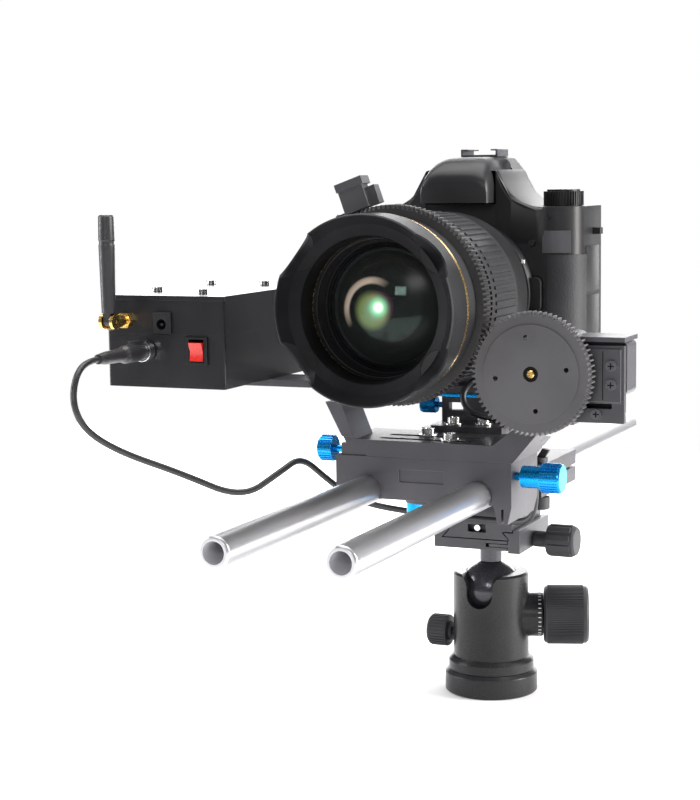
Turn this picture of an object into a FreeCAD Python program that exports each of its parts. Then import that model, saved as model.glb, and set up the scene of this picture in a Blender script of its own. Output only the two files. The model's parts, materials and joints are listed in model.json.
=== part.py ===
"""Camera rig on a ball head: two rods, a cradle, a camera with a wide lens,
a geared focus motor, a radio receiver and the lead between them.

Frame: millimetres, +Z up, origin at the mouth of the tripod thread under the
ball head, -Y towards what the lens looks at, +X towards the focus motor.
"""
import FreeCAD, Part
import math
import os
import Sketcher

Vector = FreeCAD.Vector
Rotation = FreeCAD.Rotation
doc = FreeCAD.newDocument("camera_rig")

# ---------------------------------------------------------------- dimensions
DRIVING = {
    "rod_level": 130.0, "rod_spacing": 60.0, "rod_radius": 7.5, "rod_length": 450.0,
    "rod_front": -275.0, "rod_bore": 7.55, "rod_tip_bore": 5.1,
    "block_front": -106.0, "block_depth": 42.0, "arm_depth": 24.0, "cradle_bottom": 147.5,
    "cradle_thick": 8.5, "ball_radius": 17.0, "ball_level": 58.0, "housing_radius": 21.2,
    "housing_bottom": 13.3, "housing_top": 68.5, "neck_radius": 6.2, "thread_radius": 4.1,
    "base_radius": 26.0, "base_height": 13.0, "clamp_bottom": 85.5, "clamp_floor": 91.0,
    "clamp_half_depth": 26.0, "lens_level": 227.7, "lens_mount_y": -47.0, "lens_radius": 41.6,
    "hood_radius": 45.4, "hood_front": -180.0, "gear_module": 0.8, "ring_teeth": 120.0,
    "drive_teeth": 72.0, "gear_plane": -139.0, "ring_width": 8.0, "motor_x": 70.3,
    "motor_level": 197.0, "plate_level": 174.7, "plate_thick": 4.0, "camera_bottom": 187.0,
    "camera_front": -44.0, "box_left": -182.0, "box_width": 71.0, "box_front": -106.0,
    "box_depth": 110.0, "box_height": 49.5, "lid_height": 21.0, "cable_radius": 1.7,
    "gap": 0.35, "fit": 0.05,
}

sheet = doc.addObject("Spreadsheet::Sheet", "dim")
for row, (alias, value) in enumerate(DRIVING.items(), start=1):
    sheet.set(f"A{row}", alias)
    sheet.set(f"B{row}", str(value))
    sheet.setAlias(f"B{row}", alias)
doc.recompute()


def read(alias):
    """The number that the sheet holds under an alias."""
    return float(sheet.get(alias))


gauge = doc.addObject("App::FeaturePython", "gauge")
gauge.addProperty("App::PropertyFloat", "Reading")


def number(formula):
    """The value of a formula over the sheet's aliases, used where a size is needed at once."""
    if not isinstance(formula, str):
        return float(formula)
    gauge.setExpression("Reading", formula)
    gauge.recompute()
    return float(gauge.Reading)


def bind(item, prop, formula):
    """Tie a property to a formula over the sheet; plain numbers are stored as they are."""
    if isinstance(formula, str):
        item.setExpression(prop, formula)
    else:
        item.setExpression(prop, None)
        if "." not in prop:
            setattr(item, prop, formula)
        else:
            item.setExpression(prop, repr(float(formula)))


# ------------------------------------------------------------------- helpers
SUBPARTS = []
TURN = {"Z": Rotation(), "X": Rotation(Vector(0, 1, 0), 90), "-X": Rotation(Vector(0, 1, 0), -90),
        "Y": Rotation(Vector(1, 0, 0), -90), "-Y": Rotation(Vector(1, 0, 0), 90),
        "-Z": Rotation(Vector(1, 0, 0), 180)}


def place(item, at, axis="Z"):
    """Turn an item so that its own +Z lies along an axis, and bind its position."""
    item.Placement = FreeCAD.Placement(Vector(), TURN[axis] if isinstance(axis, str) else axis)
    for letter, formula in zip("xyz", at):
        bind(item, f"Placement.Base.{letter}", formula)
    return item


def add(kind, at, axis="Z", **sizes):
    """A Part primitive whose sizes are bound to the sheet."""
    item = doc.addObject(f"Part::{kind}", kind.lower())
    for prop, formula in sizes.items():
        bind(item, prop, formula)
    return place(item, at, axis)


def box(x_range, y_range, z_range):
    """A block between three pairs of limits."""
    spans = [f"({high}) - ({low})" for low, high in (x_range, y_range, z_range)]
    return add("Box", (x_range[0], y_range[0], z_range[0]), Length=spans[0], Width=spans[1],
               Height=spans[2])


def rod(radius, length, at, axis="Z"):
    """A round bar that starts at a point and runs along an axis."""
    return add("Cylinder", at, axis, Radius=radius, Height=length)


def ball(radius, at):
    return add("Sphere", at, Radius=radius)


def join(*items):
    item = doc.addObject("Part::MultiFuse", "joined")
    item.Shapes = list(items)
    item.Refine = True
    return item


def cut(base, *tools):
    item = doc.addObject("Part::Cut", "cut")
    item.Base = base
    item.Tool = tools[0] if len(tools) == 1 else join(*tools)
    item.Refine = True
    return item


def rounded(base, radius, chosen):
    """Fillet the edges for which chosen(edge) is true."""
    doc.recompute()
    item = doc.addObject("Part::Fillet", "rounded")
    item.Base = base
    item.Edges = [(index, radius, radius) for index, edge in enumerate(base.Shape.Edges, start=1)
                  if chosen(edge)]
    return item


def along(axis):
    """A test for straight edges that run along one axis."""
    def test(edge):
        if edge.Curve.TypeId != "Part::GeomLine":
            return False
        return abs(abs(edge.Curve.Direction.dot(Vector(*axis))) - 1) < 1e-6
    return test


def outline(body, role, points):
    """A closed sketch through the points, each coordinate bound to the sheet."""
    drawing = body.newObject("Sketcher::SketchObject", "outline")
    plane = [item for item in body.Origin.OriginFeatures if item.Role == role][0]
    drawing.AttachmentSupport = [(plane, "")]
    drawing.MapMode = "FlatFace"
    corners = [Vector(number(across), number(up), 0) for across, up in points]
    for first, second in zip(corners, corners[1:] + corners[:1]):
        drawing.addGeometry(Part.LineSegment(first, second))
    for index in range(len(corners)):
        drawing.addConstraint(Sketcher.Constraint("Coincident", index, 2,
                                                  (index + 1) % len(corners), 1))
    for index, pair in enumerate(points):
        for kind, formula in zip(("DistanceX", "DistanceY"), pair):
            place_in = drawing.addConstraint(Sketcher.Constraint(kind, index, 1, number(formula)))
            drawing.renameConstraint(place_in, f"{kind}{index}")
            if isinstance(formula, str):
                drawing.setExpression(f"Constraints.{kind}{index}", formula)
    return drawing


def turned(points, at=(0, 0, 0), axis="Z"):
    """A lathe part: points are (radius, height) pairs about the axis."""
    body = doc.addObject("PartDesign::Body", "turned")
    revolve = body.newObject("PartDesign::Revolution", "revolve")
    revolve.Profile = outline(body, "XZ_Plane", points)
    revolve.ReferenceAxis = (revolve.Profile[0], ["V_Axis"])
    revolve.Angle = 360
    return place(body, at, axis)


def extruded(points, low, high, axis="Y"):
    """A section between two stations: (x, z) points along Y, or (y, z) points along X."""
    body = doc.addObject("PartDesign::Body", "extruded")
    pad = body.newObject("PartDesign::Pad", "pad")
    role = {"Y": "XZ_Plane", "X": "YZ_Plane", "Z": "XY_Plane"}[axis]
    pad.Profile = outline(body, role, points)
    bind(pad, "Length", f"({high}) - ({low})")
    shift = {"Y": (0, high, 0), "X": (low, 0, 0), "Z": (0, 0, low)}[axis]
    return place(body, shift)


def ribbed(outer, depth, count, length, at, axis="Z", share=0.5, tip_share=0.8, start=0.0):
    """A bar with straight ribs all round; share is the rib's part of the pitch at its root."""
    points = []
    for index in range(count):
        middle = start + 2 * math.pi * index / count
        half = math.pi / count * share
        for turn, radius in ((-half, outer - depth), (-half * tip_share, outer),
                             (half * tip_share, outer), (half, outer - depth)):
            points.append(Vector(radius * math.cos(middle + turn),
                                 radius * math.sin(middle + turn), 0))
    shape = Part.Face(Part.makePolygon(points + points[:1])).extrude(Vector(0, 0, length))
    item = doc.addObject("Part::Feature", "ribbed")
    item.Shape = shape
    return place(item, at, axis)


def name(item, label):
    """Give a finished sub-part its own name."""
    item.Label = label
    SUBPARTS.append(item)
    return item


def around(radius, count, start=0.0):
    """Points evenly spaced on a circle."""
    for index in range(count):
        turn = math.radians(start) + 2 * math.pi * index / count
        yield radius * math.cos(turn), radius * math.sin(turn)


# ----------------------------------------------------------------- ball head
KNOB_LEVEL = 43.2
PAN_KNOB_LEVEL = 31.5
CLAMP_SCREW_LEVEL = "dim.clamp_bottom + 2.75"
LOCK_TURN = 19.0
LOCK_AXIS = Rotation(Vector(0, 0, 1), LOCK_TURN) * TURN["X"]


def on_lock_axis(distance):
    """A point on the axis of the ball's lock, so far out from the head's own axis."""
    turn = math.radians(LOCK_TURN)
    return distance * math.cos(turn), distance * math.sin(turn), KNOB_LEVEL


def ball_head():
    base = turned([(0, 0), ("dim.base_radius - 1", 0), ("dim.base_radius", 1),
                   ("dim.base_radius", "dim.base_height - 2"),
                   ("dim.base_radius - 2", "dim.base_height"), (0, "dim.base_height")])
    name(cut(base, rod("dim.thread_radius", 9, (0, 0, 0))), "head_base")

    radius, top, level = "dim.housing_radius", "dim.housing_top", "dim.ball_level"
    barrel = turned([(0, "dim.housing_bottom"), (24, "dim.housing_bottom"), (24, 18), (22.4, 20),
                     (radius, 20.6), (radius, f"{top} - 1.2"), (f"{radius} - 1.2", top),
                     (13.9, top), (15.1, f"{top} - 2"), ("dim.ball_radius + dim.gap", f"{top} - 2.4"),
                     ("dim.ball_radius + dim.gap", f"{level} - 6"), (8, f"{level} - 19.5"),
                     (0, f"{level} - 19.5")])
    collar = turned([(0, 14), (12.4, 14), (12.4, 28.6), (11.8, 29.2), (0, 29.2)],
                    (0, 0, KNOB_LEVEL), LOCK_AXIS)
    flare = [(7.5, level), (7.5, 62), (8.3, 65), (9.6, 67), (11.4, top), (11.4, f"{top} + 5")]
    notch = join(rod(7.5, 30, (0, 0, level), "-Y"),
                 extruded(flare + [(-x, z) for x, z in reversed(flare)], -30, 0))
    inside = join(rod("dim.ball_radius + dim.gap", 20, (0, 0, f"{level} - 5")),
                  ball("dim.ball_radius + dim.gap", (0, 0, level)))
    knob_bore = rod("4 + dim.fit", 14, on_lock_axis(15.4), LOCK_AXIS)
    pan_bore = rod("2.5 + dim.fit", 12, (-15, 0, PAN_KNOB_LEVEL), "-X")
    shell = cut(join(barrel, collar), notch, knob_bore, pan_bore)
    name(cut(shell, cut(inside, box(("-20", "20"), ("-20", "20"), (f"{top} - 2.4", f"{top} + 30")))),
         "head_housing")

    grip = ribbed(16.6, 0.7, 96, 20, on_lock_axis(31.6), LOCK_AXIS)
    knob = turned([(0, 15.7), (4, 15.7), (4, 29.55), (14.6, 29.55), (16.0, 30.6), (16.0, 53.2),
                   (14.8, 54.5), (0, 54.5)], (0, 0, KNOB_LEVEL), LOCK_AXIS)
    name(join(knob, grip), "ball_lock_knob")

    pan_grip = ribbed(9.0, 0.6, 30, 9.4, (-25.4, 0, PAN_KNOB_LEVEL), "-X")
    pan_knob = turned([(0, 15.3), (2.5, 15.3), (2.5, 22.6), (5.4, 22.6), (5.4, 24.4), (8.5, 24.8),
                       (8.5, 35.6), (7.4, 36.6), (0, 36.6)], (0, 0, PAN_KNOB_LEVEL), "-X")
    name(join(pan_knob, pan_grip), "pan_lock_knob")

    name(ball("dim.ball_radius", (0, 0, level)), "head_ball")
    neck = rod("dim.neck_radius", f"dim.clamp_bottom - dim.gap - {level}", (0, 0, level))
    name(cut(neck, ball("dim.ball_radius + dim.gap", (0, 0, level))), "head_stem")


def quick_release():
    floor, depth = "dim.clamp_floor", "dim.clamp_half_depth"
    base = extruded([(-24, "dim.clamp_bottom"), (18.5, "dim.clamp_bottom"), (18.5, f"{floor} - 0.1"),
                     (-19.5, f"{floor} - 0.1"), (-19.5, f"{floor} + 0.6"), (-16, f"{floor} + 4.4"),
                     (-24, f"{floor} + 4.4")], f"-{depth}", depth)
    tunnel = rod("2.1 + dim.fit", 30, (18.6, 0, CLAMP_SCREW_LEVEL), "-X")
    guides = [rod("1.6 + dim.fit", 14, (18.6, y, CLAMP_SCREW_LEVEL), "-X") for y in (-16, 16)]
    slot = box(("6", "19"), (f"-{depth} - 1", f"-{depth} + 5"), ("dim.clamp_bottom + 1.6",
                                                                    "dim.clamp_bottom + 3.9"))
    name(cut(base, tunnel, slot, *guides), "clamp_base")

    jaw = extruded([(18.9, "dim.clamp_bottom - 1.2"), (25.6, "dim.clamp_bottom - 1.2"),
                    (25.6, f"{floor} + 6.4"), (22.0, f"{floor} + 6.4"), (22.0, f"{floor} + 4.6"),
                    (16.2, f"{floor} + 4.6"), (19.7, f"{floor} + 0.8"), (18.9, f"{floor} + 0.1")],
                   f"-{depth}", depth)
    tongue = box(("8", "20"), (f"-{depth}", f"-{depth} + 4.6"), ("dim.clamp_bottom + 1.95",
                                                                  "dim.clamp_bottom + 3.55"))
    pins = [rod(1.6, 12, (19.5, y, CLAMP_SCREW_LEVEL), "-X") for y in (-16, 16)]
    name(cut(join(jaw, tongue, *pins), rod("2.1 + dim.fit", 12, (17, 0, CLAMP_SCREW_LEVEL), "X")),
         "clamp_jaw")

    knob = turned([(0, -10), (2.1, -10), (2.1, 25.95), (4.5, 25.95), (4.5, 34.2), (8.4, 34.2),
                   (8.4, 49), (7.4, 50.4), (0, 50.4)], (0, 0, CLAMP_SCREW_LEVEL), "X")
    grip = ribbed(9.1, 0.8, 10, 12.6, (35.2, 0, CLAMP_SCREW_LEVEL), "X", 0.7, 0.7)
    name(join(knob, grip), "clamp_knob")

    slab = extruded([(-19.1, f"{floor} + 0.3"), (19.1, f"{floor} + 0.3"), (15.4, f"{floor} + 4.4"),
                     (15.4, f"{floor} + 5"), (21.2, f"{floor} + 5"), (21.2, f"{floor} + 10.5"),
                     (-24, f"{floor} + 10.5"), (-24, f"{floor} + 5"), (-15.4, f"{floor} + 5"),
                     (-15.4, f"{floor} + 4.4")], f"-{depth} + 0.5", f"{depth} - 0.5")
    recess = box(("-4.5", "6"), (f"-{depth} - 1", f"-{depth} + 5"), (f"{floor} + 4", f"{floor} + 8.2"))
    name(cut(slab, recess), "release_plate")


# ----------------------------------------------------------- rods and clamps
SIDES = {"left": -1, "right": 1}
PINCH_X, PINCH_Y = 43.4, -45.0
RIGHT_KNOB = (-98.0, 140.0)
LEFT_KNOB = (-98.0, 149.5)
FOOT_KNOB = (-9.0, -92.0)
RISER_KNOB = (-13.6, -48.5, 168.0)
CRADLE_END = -44.6


def rods():
    for side, sign in SIDES.items():
        bar = turned([(0, 0), ("dim.rod_radius - 0.9", 0), ("dim.rod_radius", 0.9),
                      ("dim.rod_radius", "dim.rod_length - 0.9"),
                      ("dim.rod_radius - 0.9", "dim.rod_length"), (0, "dim.rod_length")],
                     (f"{sign} * dim.rod_spacing / 2", "dim.rod_front", "dim.rod_level"), "Y")
        centre = f"{sign} * dim.rod_spacing / 2"
        tip = rod("dim.rod_tip_bore", 22, (centre, "dim.rod_front", "dim.rod_level"), "Y")
        tail = rod("dim.rod_tip_bore", 22, (centre, "dim.rod_front + dim.rod_length",
                                            "dim.rod_level"), "-Y")
        name(cut(bar, tip, tail), f"rod_{side}")


def rod_bores(low, length):
    return [rod("dim.rod_bore", length, (f"{sign} * dim.rod_spacing / 2", low, "dim.rod_level"), "Y")
            for sign in SIDES.values()]


def front_block():
    back = "dim.block_front + dim.block_depth"
    section = [(-47.5, "dim.cradle_bottom"), (48, "dim.cradle_bottom"), (48, 125), (46, 116.5),
               (40.5, 116.5), (38.6, 125.6), (-38.6, 125.6), (-40.5, 118), (-46, 118), (-47.5, 125)]
    body = extruded(section, "dim.block_front", back)
    recess = box(("-12", "12"), ("dim.block_front - 1", "dim.block_front + 0.8"), ("135", "141.5"))
    foot = rod(12, 2.6, (-2, -91, 123.2))
    slit = box(("42.6", "43.8"), ("dim.block_front - 1", back + " + 1"), ("110", "124"))
    screws = [rod("2 + dim.fit", 9, (48.5, RIGHT_KNOB[0], RIGHT_KNOB[1]), "-X"),
              rod("2 + dim.fit", 10, (FOOT_KNOB[0], FOOT_KNOB[1], 122))]
    name(cut(join(body, foot), recess, slit, *screws, *rod_bores("dim.block_front - 1", 44)),
         "front_block")

    knob = turned([(0, -8), (2, -8), (2, 3.4), (5.6, 3.4), (5.6, 13.6), (7.2, 13.6), (7.2, 23.4),
                   (6.8, 24.2), (0, 24.2)], (48, RIGHT_KNOB[0], RIGHT_KNOB[1]), "X")
    grip = ribbed(7.6, 0.5, 30, 9, (62.2, RIGHT_KNOB[0], RIGHT_KNOB[1]), "X")
    name(join(knob, grip), "rod_knob_right")
    knob = turned([(0, -8), (1.45, -8), (1.45, 0.3), (1.9, 0.3), (1.9, 6.6), (6.3, 6.6), (6.3, 14),
                   (5.7, 14.7), (0, 14.7)], (CRADLE_END, LEFT_KNOB[0], LEFT_KNOB[1]), "-X")
    grip = ribbed(6.8, 0.5, 26, 6.8, (CRADLE_END - 6.9, LEFT_KNOB[0], LEFT_KNOB[1]), "-X")
    name(join(knob, grip), "rod_knob_left")
    knob = turned([(0, -8), (2, -8), (2, 0.5), (4.4, 0.5), (4.4, 5.6), (4, 6), (0, 6)],
                  (FOOT_KNOB[0], FOOT_KNOB[1], 123.2), "-Z")
    name(knob, "foot_knob")


def rear_clamp():
    top = "dim.cradle_bottom + dim.cradle_thick"
    bar = box(("-47", "47"), ("-54", "8"), ("121.5", "138.6"))
    saddle = box(("-20", "20"), ("-54", "8"), ("138", top))
    riser = box(("-13", "13"), ("-25", "8"), ("dim.clamp_floor + 10.5", "122"))
    slits = [box((low, high), ("-60", "10"), ("129.3", "130.7"))
             for low, high in (("36", "48"), ("-48", "-36"))]
    bolt_hole = rod("2.5 + dim.fit", 30, (PINCH_X, PINCH_Y, 115))
    name(cut(join(bar, saddle, riser), bolt_hole, *slits, *rod_bores(-60, 80)), "rear_clamp")

    bolt = rod(2.5, 26, (PINCH_X, PINCH_Y, 114))
    knob = turned([(0, 114), (4.6, 114), (5.2, 114.6), (5.2, 120.6), (0, 120.6)],
                  (PINCH_X, PINCH_Y, 0))
    hub = rod(4, 2.6, (PINCH_X, PINCH_Y, 139.1))
    wing = extruded([(PINCH_X - 2, 141), (PINCH_X + 2.4, 141), (PINCH_X + 5.4, 145.6),
                     (PINCH_X + 1.6, 146.6)], PINCH_Y - 1.3, PINCH_Y + 1.3)
    name(join(bolt, knob, hub, wing), "pinch_screw")


def cradle():
    front, back = "dim.block_front", "dim.block_front + dim.block_depth"
    low, high = "dim.cradle_bottom", "dim.cradle_bottom + dim.cradle_thick"
    shelf = "dim.plate_level - 5.4"
    section = [(CRADLE_END, low), (48.5, low), (66, f"{shelf} - 1"), (80, f"{shelf} - 1"),
               (80, f"{shelf} + 4"), (60, f"{shelf} + 4"), (38, high), (-36.7, high),
               (-44.2, f"{shelf} + 5.4"), (-53, f"{shelf} + 5.4"), (-42, f"{low} + 6.2"),
               (CRADLE_END, f"{low} + 6.2")]
    bent = extruded(section, front, back)
    step = box(("-48", "-30"), (f"{front} - 1", f"{front} + 1.2"), (low, "157"))
    behind_arms = [box(spread, (f"{front} + dim.arm_depth", f"{back} + 1"), (high, "190"))
                   for spread in ((-60, -36), (38, 90))]
    slots = [join(box(("-24", "22"), (y - 2.2, y + 2.2), ("140", "160")),
                  rod(2.2, 20, (-24, y, 140)), rod(2.2, 20, (22, y, 140))) for y in (-97.0, -84.0)]
    knob_bore = rod("1.45 + dim.fit", 9, (CRADLE_END - 0.5, LEFT_KNOB[0], LEFT_KNOB[1]), "X")
    name(cut(bent, step, knob_bore, *behind_arms, *slots), "cradle")

    screws = []
    for x, y, lift in ((-4.5, -84, 0), (12, -97, 0), (1.5, -62, 3.4), (16.5, -58, 3.4)):
        washer = rod(5, 1.1, (x, y, f"{high} + {lift}"))
        head = rod(3.4, 3, (x, y, f"{high} + {lift + 1.1}"))
        socket = rod(1.5, 3, (x, y, f"{high} + {lift + 2.3}"))
        screws.append(cut(join(washer, head), socket))
    stop_pin = rod(1.8, 4, (0.8, "-dim.clamp_half_depth + 1", "dim.clamp_floor + 6.3"), "Y")
    name(join(stop_pin, *screws), "steel_screws")


def camera_support():
    high = "dim.cradle_bottom + dim.cradle_thick"
    top = "dim.plate_level - 1.8"
    wall = box(("-9.5", "36"), ("-51", "-46"), (high, top))
    foot = box(("-9.5", "30"), ("-68", "-46"), (high, high + " + 3.4"))
    shelf = box(("-9.5", "36"), ("-46", "-8"), (top + " - 4", top))
    window = box(("-5.5", "2.5"), ("-60", "-40"), (165.6, 169.8))
    x, y, z = RISER_KNOB
    knob_hole = rod("1.5 + dim.fit", 4, (-10, y, z), "X")
    name(cut(join(wall, foot, shelf), window, knob_hole), "riser_bracket")
    name(join(rod(1.5, 7.6, (x, y, z), "X"), rod(4.2, 8.6, (x - 8.2, y, z), "X"),
              ribbed(4.6, 0.4, 20, 7, (x - 7.4, y, z), "X")), "riser_knob")
    blue = box(("-12", "40"), ("-53", "-2"), (top, "dim.plate_level"))
    name(blue, "support_pad")
    arm = box(("-168", "46"), ("-52", "-24"), ("dim.plate_level", "dim.plate_level + dim.plate_thick"))
    name(arm, "accessory_arm")
    foot = box(("-22", "22"), ("-44", "-2"), ("dim.plate_level + dim.plate_thick",
                                              "dim.camera_bottom"))
    relief = box(("-30", "30"), ("-55", "-24"), ("dim.plate_level", "dim.plate_level + dim.plate_thick"))
    name(cut(foot, relief), "camera_foot")


# -------------------------------------------------------------------- camera
SHUTTER = (-66.0, -49.0)
DIAL_WHEEL = (-62.0, -26.0, 264.5)
MODE_DIAL = (48.5, -20.0)
RELEASE = (40.8, 227.5)
FLASH_BUTTON = (38.6, 254.4)
TOP_BUTTONS = {"left": -46.0, "right": -36.0}
SHOULDER = "dim.camera_bottom + 86"
FLASH_PIVOT = (-21.5, 296.0)


def stadium(width, height, depth, at):
    """An upright rounded slot or button that runs along +Y."""
    x, y, z = at
    half = (height - width) / 2
    ends = [rod(width / 2, depth, (x, y, z + sign * half), "Y") for sign in (-1, 1)]
    middle = add("Box", (x - width / 2, y, z - half), Length=width, Width=depth, Height=2 * half)
    return join(middle, *ends)


def camera_body():
    low, front = "dim.camera_bottom", "dim.camera_front"
    plan = [(-85, 2), (-85, -46), (-81, -58), (-72, -64), (-62, -62), (-54, -50), (-48, front),
            (50, front), (59, -39), (63, -32), (63, 1), (58, 6), (-58, 6), (-80, 6)]
    shell = extruded(plan, low, SHOULDER, "Z")
    crown = extruded([(-42, 271), (-28, 277), (-19.5, 292), (-14, 298.6), (-9, 299.5), (9, 299.5),
                      (14, 298.6), (19.5, 292), (28, 277), (42, 271), (42, 262), (-42, 262)], -46, 2)
    boss = rod(37, 5, (0, "dim.camera_front + 1", "dim.lens_level"), "-Y")
    eyepiece = box(("-14", "14"), ("2", "10"), ("276", "296"))
    lugs = [box((low_x, high_x), ("-15", "-9.5"), (lug, lug + 3.4))
            for low_x, high_x, lug in ((-88, -84, 246.0), (62, 67, 258.0))]
    solid = join(shell, crown, boss, eyepiece, *lugs)

    flash_space = join(box(("-19.4", "19.4"), ("-70", "-24"), ("274.6", "310")),
                       box(("-19.4", "19.4"), ("-30", "-16.9"), ("290.6", "310")))
    throat = rod(24, 44, (0, "dim.camera_front - 10", "dim.lens_level"), "Y")
    screen = box(("-48", "28"), ("4.4", "7"), ("196", "246"))
    wheel_space = box((-67, -57), (-34, -18), ("256", "280"))
    slope = extruded([(-56, SHOULDER + " + 0.5"), (-90, 253), (-90, 280), (-56, 280)], -70, 10)
    shutter_well = rod("4.5 + dim.gap", 12, (SHUTTER[0], SHUTTER[1], 262))
    dial_well = rod("10.6 + dim.gap", 6, (MODE_DIAL[0], MODE_DIAL[1], 272))
    release_well = stadium(7.9, 19.4, 12, (RELEASE[0], -52, RELEASE[1]))
    flash_well = rod("1.8 + dim.gap", 6, (FLASH_BUTTON[0], -46, FLASH_BUTTON[1]), "Y")
    wells = [rod("1.9 + dim.gap", 6, (x, -20, 270)) for x in TOP_BUTTONS.values()]
    eye_hole = box(("-9", "9"), ("6", "11"), ("280", "292"))
    name(cut(solid, slope, flash_space, throat, screen, wheel_space, shutter_well, dial_well, release_well,
             flash_well, eye_hole, *wells), "camera_body")


def camera_controls():
    section = [(-57.5, 275.4), (-24.8, 275.4), (-24.8, 291.8), (-19.4, 291.8), (-19.4, 299.4),
               (-38, 299.2), (-50, 295), (-56, 288)]
    trimmer = extruded([(-18.9, 275), (18.9, 275), (18.9, 288), (14, 297.4), (9, 299.4),
                        (-9, 299.4), (-14, 297.4), (-18.9, 288)], -60, -18)
    head = doc.addObject("Part::MultiCommon", "common")
    head.Shapes = [extruded(section, -19, 19, "X"), trimmer]
    name(cut(head, rod(0.8, 40, (-20, *FLASH_PIVOT), "X")), "flash_head")

    base = box(("-10.5", "10.5"), ("-17", "1"), ("299.5", "300.6"))
    rails = [box((low, high), ("-17", "1"), ("300.6", "302.8")) for low, high in
             (("-10.5", "-9.3"), ("9.3", "10.5"))]
    lips = [box((low, high), ("-17", "1"), ("302.8", "303.6")) for low, high in
            (("-10.5", "-6.5"), ("6.5", "10.5"))]
    name(join(base, *rails, *lips), "hot_shoe")

    x, y = MODE_DIAL
    name(join(rod(9.9, 6, (x, y, 272.4)), ribbed(10.6, 0.6, 44, 7.4, (x, y, 273.4)),
              rod(8.8, 9.4, (x, y, 272.4))), "mode_dial")
    x, y, z = DIAL_WHEEL
    name(join(ribbed(6.6, 0.6, 28, 8, (x - 4, y, z), "X"), rod(5, 8.6, (x - 4.3, y, z), "X")),
         "main_dial")
    name(join(rod(4.5, 4.6, (*SHUTTER, 264.2)), rod(3.9, 5.2, (*SHUTTER, 264.2))), "shutter_button")
    for side, x in TOP_BUTTONS.items():
        name(rod(1.9, 3.2, (x, -20, 271.4)), f"top_button_{side}")
    name(stadium(7.2, 18.7, 5, (RELEASE[0], -47.5, RELEASE[1])), "lens_release_button")
    name(rod(1.8, 3.2, (FLASH_BUTTON[0], -45.2, FLASH_BUTTON[1]), "Y"), "flash_button")
    name(box(("-47.6", "27.6"), ("4.4", "6.2"), ("196.4", "245.6")), "rear_screen")


# ---------------------------------------------------------------------- lens
MESH = "(dim.gear_module * (dim.ring_teeth + dim.drive_teeth) / 2)"
MOTOR_LEVEL = f"(dim.lens_level - sqrt({MESH}^2 - dim.motor_x^2))"
CLIP_TURN = -19.5


def on_lens_axis(points):
    """A lathe part about the lens axis: points are (radius, y) pairs."""
    return turned(points, (0, 0, "dim.lens_level"), "Y")


def lens():
    tube, back = "dim.lens_radius", "dim.lens_mount_y"
    name(on_lens_axis([(33, -157.4), (43.6, -157.4), (43.6, -153.4), (tube, -153.4), (tube, -81.6),
                       (43.4, -81.6), (43.4, -66), (42, -63.5), (38.5, -58), (36, back + " - 1"),
                       (23, back + " - 1"), (23, -41), (0, -41), (0, -126), (33, -126)]),
         "lens_barrel")
    hood = on_lens_axis([(43.9, "dim.hood_front"), (44.8, "dim.hood_front"),
                         ("dim.hood_radius", "dim.hood_front + 0.8"), ("dim.hood_radius", -161.4),
                         ("dim.hood_radius - 0.6", -160.8), (34, -160.8), (34.4, -169), (35.3, -172),
                         (40.5, -174.5)])
    notches = [rod(14, 70, (0, "dim.hood_front - 6", "dim.lens_level"),
                   Rotation(Vector(0, 1, 0), turn)) for turn in (53, 127, 233, 307)]
    name(cut(hood, *notches), "lens_hood")
    name(on_lens_axis([(34, -160.8), (44.9, -160.8), (44.9, -157.4), (34, -157.4)]), "gold_ring")
    dome = doc.addObject("Part::MultiCommon", "common")
    dome.Shapes = [ball(40, (0, -121, "dim.lens_level")),
                   rod(32.6, 26, (0, -166, "dim.lens_level"), "Y")]
    name(dome, "front_glass")

    name(on_lens_axis([(f"{tube} + dim.gap", -153), (43.2, -153), (43.2, -122), (f"{tube} + dim.gap",
                                                                                 -122)]), "focus_ring")
    grip = ribbed(44.4, 0.9, 72, 30, (0, -116, "dim.lens_level"), "Y")
    sleeve = on_lens_axis([(0, -120.5), (43.6, -120.5), (43.6, -82.2), (0, -82.2)])
    name(cut(join(grip, sleeve), rod(f"{tube} + dim.gap", 50, (0, -125, "dim.lens_level"), "Y")),
         "zoom_ring")

    line = math.atan2(number(MOTOR_LEVEL) - read("lens_level"), read("motor_x"))
    face = "dim.gear_plane - dim.ring_width / 2"
    size = read("gear_module")
    outer = size * (read("ring_teeth") / 2 + 1)
    teeth = ribbed(outer, 2.25 * size, int(read("ring_teeth")), read("ring_width"),
                   (0, face, "dim.lens_level"), "Y", 0.6, 0.4, -line)
    name(cut(teeth, rod(43.2, 20, (0, face + " - 2", "dim.lens_level"), "Y")), "focus_gear")
    clip = join(extruded([(-8, 49.2), (5.5, 49.2), (5.5, 60.5), (-8, 60.5)], -4.2, 3),
                extruded([(5.5, 49.2), (10.5, 49.2), (10.5, 58.5), (5.5, 58.5)], -2, 4),
                extruded([(-8.6, 60.5), (6.4, 60.5), (6.4, 64.6), (-8.6, 64.6)], -4.8, 5))
    name(place(clip, (0, "dim.gear_plane", "dim.lens_level"), Rotation(Vector(0, 1, 0), CLIP_TURN)),
         "gear_clip")


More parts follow.
